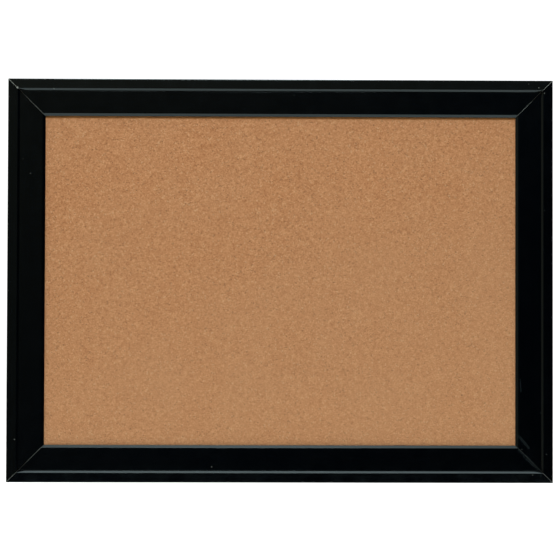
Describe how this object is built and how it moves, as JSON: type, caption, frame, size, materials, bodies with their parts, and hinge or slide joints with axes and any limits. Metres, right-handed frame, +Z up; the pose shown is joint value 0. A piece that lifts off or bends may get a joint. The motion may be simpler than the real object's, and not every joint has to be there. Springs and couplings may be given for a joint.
{
  "type": "framed cork bulletin board",
  "caption": "Wall bulletin board: a cork sheet on a softboard core in a mitred black moulded frame, with swinging D-ring hangers and rubber bumpers on its back.",
  "frame": {"origin": "on the wall, behind the middle of the board, in the plane of the bumpers' ends", "axes": "+X to the right as a reader sees the board, +Z up, +Y into the wall; the cork faces -Y"},
  "size_m": [0.5842, 0.0205, 0.4318],
  "materials": {
    "frame_foil": "satin",
    "cork": "matte",
    "softboard": "matte",
    "hardboard": "matte",
    "nail_steel": "satin",
    "point_steel": "satin",
    "zinc_plate": "satin",
    "zinc_wire": "polished",
    "bumper_rubber": "matte"
  },
  "bodies": {
    "board": {"top_rail": "frame_foil", "right_stile": "frame_foil", "bottom_rail": "frame_foil", "left_stile": "frame_foil", "cork_sheet": "cork", "softboard_core": "softboard", "hardboard_back": "hardboard", "v_nail_top_left_outer": "nail_steel", "v_nail_top_left_inner": "nail_steel", "v_nail_top_right_outer": "nail_steel", "v_nail_top_right_inner": "nail_steel", "v_nail_bottom_left_outer": "nail_steel", "v_nail_bottom_left_inner": "nail_steel", "v_nail_bottom_right_outer": "nail_steel", "v_nail_bottom_right_inner": "nail_steel", "framer_point_top_1": "point_steel", "framer_point_top_2": "point_steel", "framer_point_top_3": "point_steel", "framer_point_top_4": "point_steel", "framer_point_right_1": "point_steel", "framer_point_right_2": "point_steel", "framer_point_right_3": "point_steel", "framer_point_bottom_1": "point_steel", "framer_point_bottom_2": "point_steel", "framer_point_bottom_3": "point_steel", "framer_point_bottom_4": "point_steel", "framer_point_left_1": "point_steel", "framer_point_left_2": "point_steel", "framer_point_left_3": "point_steel", "hanger_strap_top_left": "zinc_plate", "hanger_strap_top_right": "zinc_plate", "hanger_strap_side_lower": "zinc_plate", "hanger_strap_side_upper": "zinc_plate", "hanger_screw_top_left": "zinc_plate", "hanger_screw_top_right": "zinc_plate", "hanger_screw_side_lower": "zinc_plate", "hanger_screw_side_upper": "zinc_plate", "bumper_top_left": "bumper_rubber", "bumper_top_right": "bumper_rubber", "bumper_bottom_left": "bumper_rubber", "bumper_bottom_right": "bumper_rubber"},
    "ring_top_left": {"d_ring_top_left": "zinc_wire"},
    "ring_top_right": {"d_ring_top_right": "zinc_wire"},
    "ring_side_lower": {"d_ring_side_lower": "zinc_wire"},
    "ring_side_upper": {"d_ring_side_upper": "zinc_wire"}
  },
  "joints": [
    {"name": "ring_top_left_swing", "type": "hinge", "parent": "board", "child": "ring_top_left", "pos_m": [-0.2032, -0.0025, 0.2037], "axis": [1, 0, 0], "range_deg": [0, 178]},
    {"name": "ring_top_right_swing", "type": "hinge", "parent": "board", "child": "ring_top_right", "pos_m": [0.2032, -0.0025, 0.2037], "axis": [1, 0, 0], "range_deg": [0, 178]},
    {"name": "ring_side_lower_swing", "type": "hinge", "parent": "board", "child": "ring_side_lower", "pos_m": [-0.2799, -0.0025, -0.127], "axis": [0, 0, 1], "range_deg": [0, 178]},
    {"name": "ring_side_upper_swing", "type": "hinge", "parent": "board", "child": "ring_side_upper", "pos_m": [-0.2799, -0.0025, 0.127], "axis": [0, 0, 1], "range_deg": [0, 178]}
  ]
}
